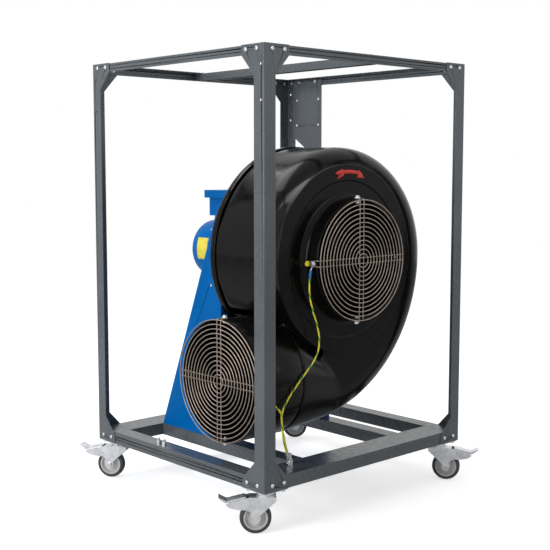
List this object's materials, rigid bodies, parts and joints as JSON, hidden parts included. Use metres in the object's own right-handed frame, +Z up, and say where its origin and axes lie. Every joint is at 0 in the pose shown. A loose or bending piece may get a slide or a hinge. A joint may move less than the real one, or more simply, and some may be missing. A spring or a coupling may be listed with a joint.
{
  "type": "mobile centrifugal extraction fan",
  "caption": "Belt-free centrifugal extraction fan in a castored open steel frame, with a scroll casing, guarded round inlet and outlet, and a flange motor on a pedestal.",
  "frame": {"origin": "centre of the footprint, on the floor under the castors", "axes": "+Z up; -Y is the inlet side, -X the outlet side, +Y the motor side"},
  "size_m": [0.9206, 0.8936, 1.2569],
  "materials": {
    "frame_paint": "satin anthracite powder coat",
    "zinc": "bright zinc plate",
    "casing_black": "glossy black, faint orange peel",
    "guard_wire": "bare steel wire",
    "impeller_metal": "black painted steel",
    "shaft_steel": "machined steel",
    "fan_plastic": "moulded black plastic",
    "motor_blue": "semi-gloss blue enamel",
    "stator_core": "laminated steel with varnished windings",
    "gland_plastic": "black polyamide",
    "earth_wire": "green and yellow insulation",
    "lug_metal": "tinned copper with a blue sleeve",
    "wheel_core": "light grey moulded plastic",
    "tyre_rubber": "dark grey tread rubber",
    "pedal_metal": "zinc plate with a dark tip"
  },
  "bodies": {
    "root": {"base_cross_rails": "frame_paint", "base_rail_front": "frame_paint", "base_rail_left": "frame_paint", "base_rail_rear": "frame_paint", "base_rail_right": "frame_paint", "cable_gland": "gland_plastic", "casing_back_plate": "casing_black", "castor_plates": "zinc", "earth_cable_inlet": "earth_wire", "earth_cable_outlet": "earth_wire", "earth_lugs": "lug_metal", "earth_studs": "zinc", "fan_fasteners": "zinc", "frame_fasteners": "zinc", "inlet_guard": "guard_wire", "inlet_nozzle": "casing_black", "inlet_ring": "casing_black", "motor_bearings": "shaft_steel", "motor_fan_cowl": "motor_blue", "motor_flange_shield": "motor_blue", "motor_housing": "motor_blue", "motor_pedestal": "motor_blue", "motor_rear_shield": "motor_blue", "outlet_guard": "guard_wire", "outlet_spigot": "casing_black", "pedestal_cheeks": "motor_blue", "post_front_left": "frame_paint", "post_front_right": "frame_paint", "post_rear_left": "frame_paint", "post_rear_right": "frame_paint", "scroll_casing": "casing_black", "stator_pack": "stator_core", "switch_plate": "frame_paint", "terminal_box": "motor_blue", "terminal_box_lid": "motor_blue", "top_rail_front": "frame_paint", "top_rail_left": "frame_paint", "top_rail_middle": "frame_paint", "top_rail_rear": "frame_paint", "top_rail_right": "frame_paint"},
    "rotor": {"impeller": "impeller_metal", "impeller_hub": "shaft_steel", "motor_rotor": "shaft_steel", "motor_cooling_fan": "fan_plastic"},
    "castor_front_left_swivel": {"castor_front_left_fork": "zinc"},
    "castor_front_left_roller": {"castor_front_left_wheel": "wheel_core", "castor_front_left_tyre": "tyre_rubber"},
    "castor_front_left_brake": {"castor_front_left_pedal": "pedal_metal"},
    "castor_rear_left_swivel": {"castor_rear_left_fork": "zinc"},
    "castor_rear_left_roller": {"castor_rear_left_wheel": "wheel_core", "castor_rear_left_tyre": "tyre_rubber"},
    "castor_rear_left_brake": {"castor_rear_left_pedal": "pedal_metal"},
    "castor_front_right_swivel": {"castor_front_right_fork": "zinc"},
    "castor_front_right_roller": {"castor_front_right_wheel": "wheel_core", "castor_front_right_tyre": "tyre_rubber"},
    "castor_front_right_brake": {"castor_front_right_pedal": "pedal_metal"},
    "castor_rear_right_swivel": {"castor_rear_right_fork": "zinc"},
    "castor_rear_right_roller": {"castor_rear_right_wheel": "wheel_core", "castor_rear_right_tyre": "tyre_rubber"},
    "castor_rear_right_brake": {"castor_rear_right_pedal": "pedal_metal"}
  },
  "joints": [
    {"name": "fan_spin", "type": "hinge", "parent": "root", "child": "rotor", "pos_m": [0, 0, 0.694], "axis": [0, 1, 0], "continuous": true},
    {"name": "swivel_front_left", "type": "hinge", "parent": "root", "child": "castor_front_left_swivel", "pos_m": [-0.355, -0.336, 0.105], "axis": [0, 0, 1], "continuous": true},
    {"name": "roll_front_left", "type": "hinge", "parent": "castor_front_left_swivel", "child": "castor_front_left_roller", "pos_m": [-0.37568, -0.31865, 0.042], "axis": [-0.6428, -0.766, 0], "continuous": true},
    {"name": "brake_front_left", "type": "hinge", "parent": "castor_front_left_swivel", "child": "castor_front_left_brake", "pos_m": [-0.38671, -0.30939, 0.078], "axis": [-0.6428, -0.766, 0], "range_deg": [0, 12]},
    {"name": "swivel_rear_left", "type": "hinge", "parent": "root", "child": "castor_rear_left_swivel", "pos_m": [-0.355, 0.336, 0.105], "axis": [0, 0, 1], "continuous": true},
    {"name": "roll_rear_left", "type": "hinge", "parent": "castor_rear_left_swivel", "child": "castor_rear_left_roller", "pos_m": [-0.37049, 0.35812, 0.042], "axis": [-0.8192, -0.5736, 0], "continuous": true},
    {"name": "brake_rear_left", "type": "hinge", "parent": "castor_rear_left_swivel", "child": "castor_rear_left_brake", "pos_m": [-0.37875, 0.36991, 0.078], "axis": [-0.8192, -0.5736, 0], "range_deg": [0, 12]},
    {"name": "swivel_front_right", "type": "hinge", "parent": "root", "child": "castor_front_right_swivel", "pos_m": [0.355, -0.336, 0.105], "axis": [0, 0, 1], "continuous": true},
    {"name": "roll_front_right", "type": "hinge", "parent": "castor_front_right_swivel", "child": "castor_front_right_roller", "pos_m": [0.37049, -0.35812, 0.042], "axis": [0.8192, 0.5736, 0], "continuous": true},
    {"name": "brake_front_right", "type": "hinge", "parent": "castor_front_right_swivel", "child": "castor_front_right_brake", "pos_m": [0.37875, -0.36991, 0.078], "axis": [0.8192, 0.5736, 0], "range_deg": [0, 12]},
    {"name": "swivel_rear_right", "type": "hinge", "parent": "root", "child": "castor_rear_right_swivel", "pos_m": [0.355, 0.336, 0.105], "axis": [0, 0, 1], "continuous": true},
    {"name": "roll_rear_right", "type": "hinge", "parent": "castor_rear_right_swivel", "child": "castor_rear_right_roller", "pos_m": [0.37568, 0.31865, 0.042], "axis": [0.6428, 0.766, 0], "continuous": true},
    {"name": "brake_rear_right", "type": "hinge", "parent": "castor_rear_right_swivel", "child": "castor_rear_right_brake", "pos_m": [0.38671, 0.30939, 0.078], "axis": [0.6428, 0.766, 0], "range_deg": [0, 12]}
  ]
}
